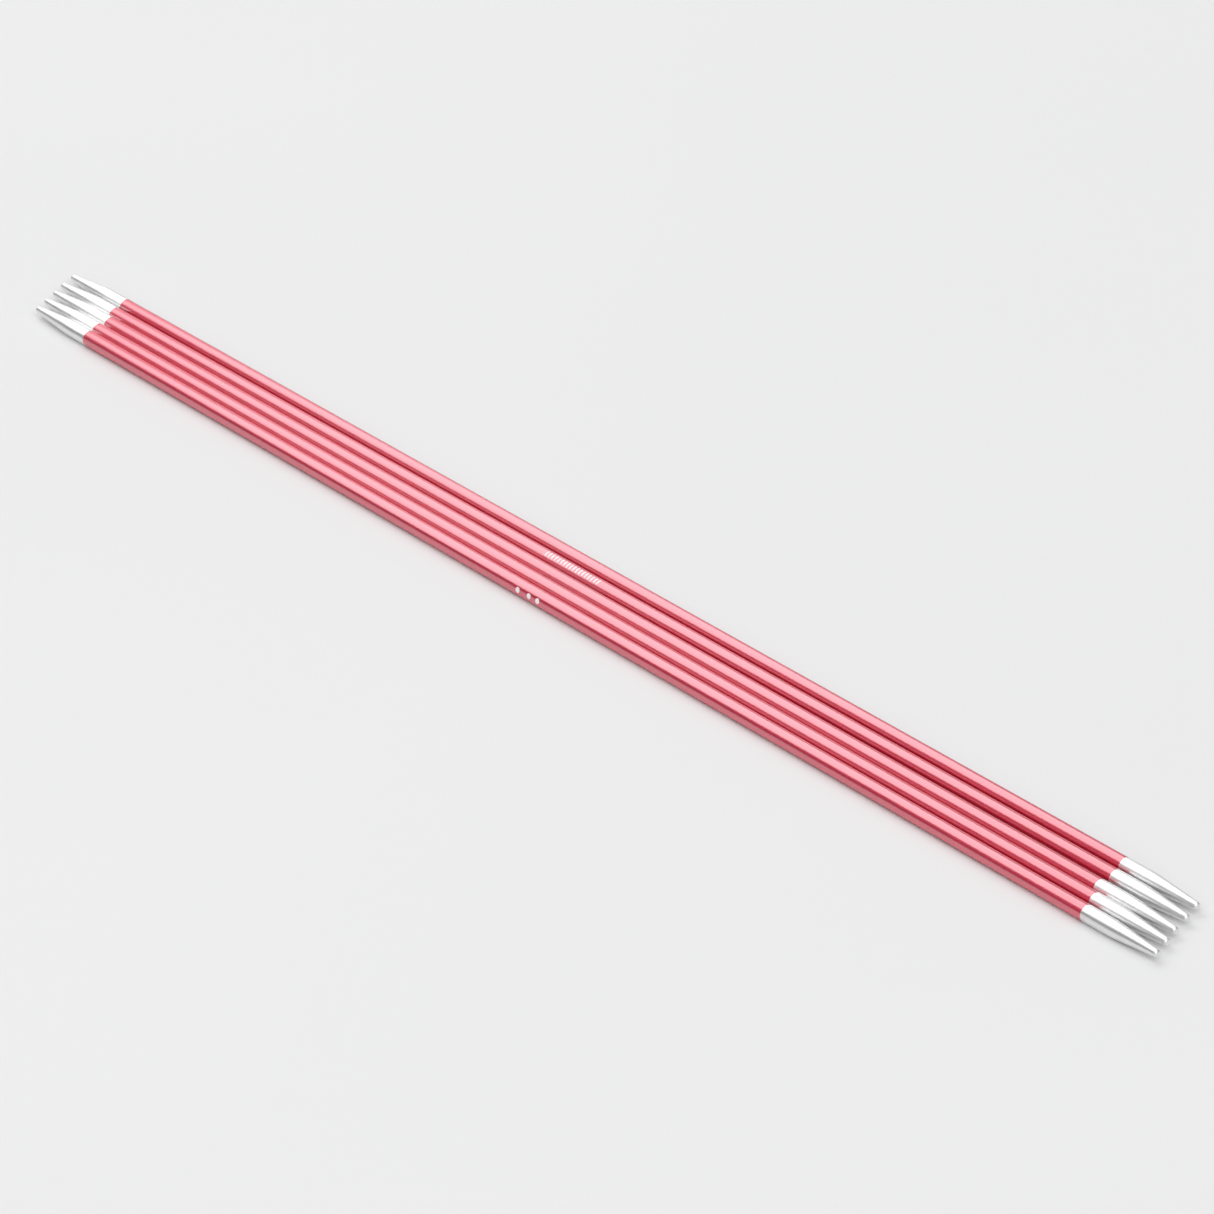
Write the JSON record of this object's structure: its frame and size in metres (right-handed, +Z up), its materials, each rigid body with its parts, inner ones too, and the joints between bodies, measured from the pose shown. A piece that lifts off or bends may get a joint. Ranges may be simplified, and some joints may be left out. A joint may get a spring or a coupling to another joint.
{
  "type": "double-pointed knitting needles",
  "caption": "Thin straight knitting needles with a point at both ends, satin rose-pink anodised shafts and bright blunt metal points, lying loose side by side on a flat surface.",
  "frame": {"origin": "middle of the row of needles, on the surface that they lie on", "axes": "+X along the needles from their far points to their near points, +Y across the row from needle_5 to needle_1, +Z up"},
  "size_m": [0.2044, 0.012, 0.002],
  "materials": {
    "pink_shaft": "satin rose-pink anodised aluminium with a soft broad highlight",
    "bright_point": "bright polished silver-coloured plated metal"
  },
  "bodies": {
    "needle_1": {"needle_1_shaft": "pink_shaft", "needle_1_far_point": "bright_point", "needle_1_near_point": "bright_point"},
    "needle_2": {"needle_2_shaft": "pink_shaft", "needle_2_far_point": "bright_point", "needle_2_near_point": "bright_point"},
    "needle_3": {"needle_3_shaft": "pink_shaft", "needle_3_far_point": "bright_point", "needle_3_near_point": "bright_point"},
    "needle_4": {"needle_4_shaft": "pink_shaft", "needle_4_far_point": "bright_point", "needle_4_near_point": "bright_point"},
    "needle_5": {"needle_5_shaft": "pink_shaft", "needle_5_far_point": "bright_point", "needle_5_near_point": "bright_point"}
  },
  "joints": [
    {"name": "needle_1_draw", "type": "slide", "parent": "needle_3", "child": "needle_1", "axis": [1, 0.0045, 0], "range_m": [0, 0.21]},
    {"name": "needle_2_draw", "type": "slide", "parent": "needle_3", "child": "needle_2", "axis": [1, 0.0035, 0], "range_m": [0, 0.21]},
    {"name": "needle_4_draw", "type": "slide", "parent": "needle_3", "child": "needle_4", "axis": [1, -0.0007, 0], "range_m": [0, 0.21]},
    {"name": "needle_5_draw", "type": "slide", "parent": "needle_3", "child": "needle_5", "axis": [1, -0.003, 0], "range_m": [0, 0.21]}
  ]
}
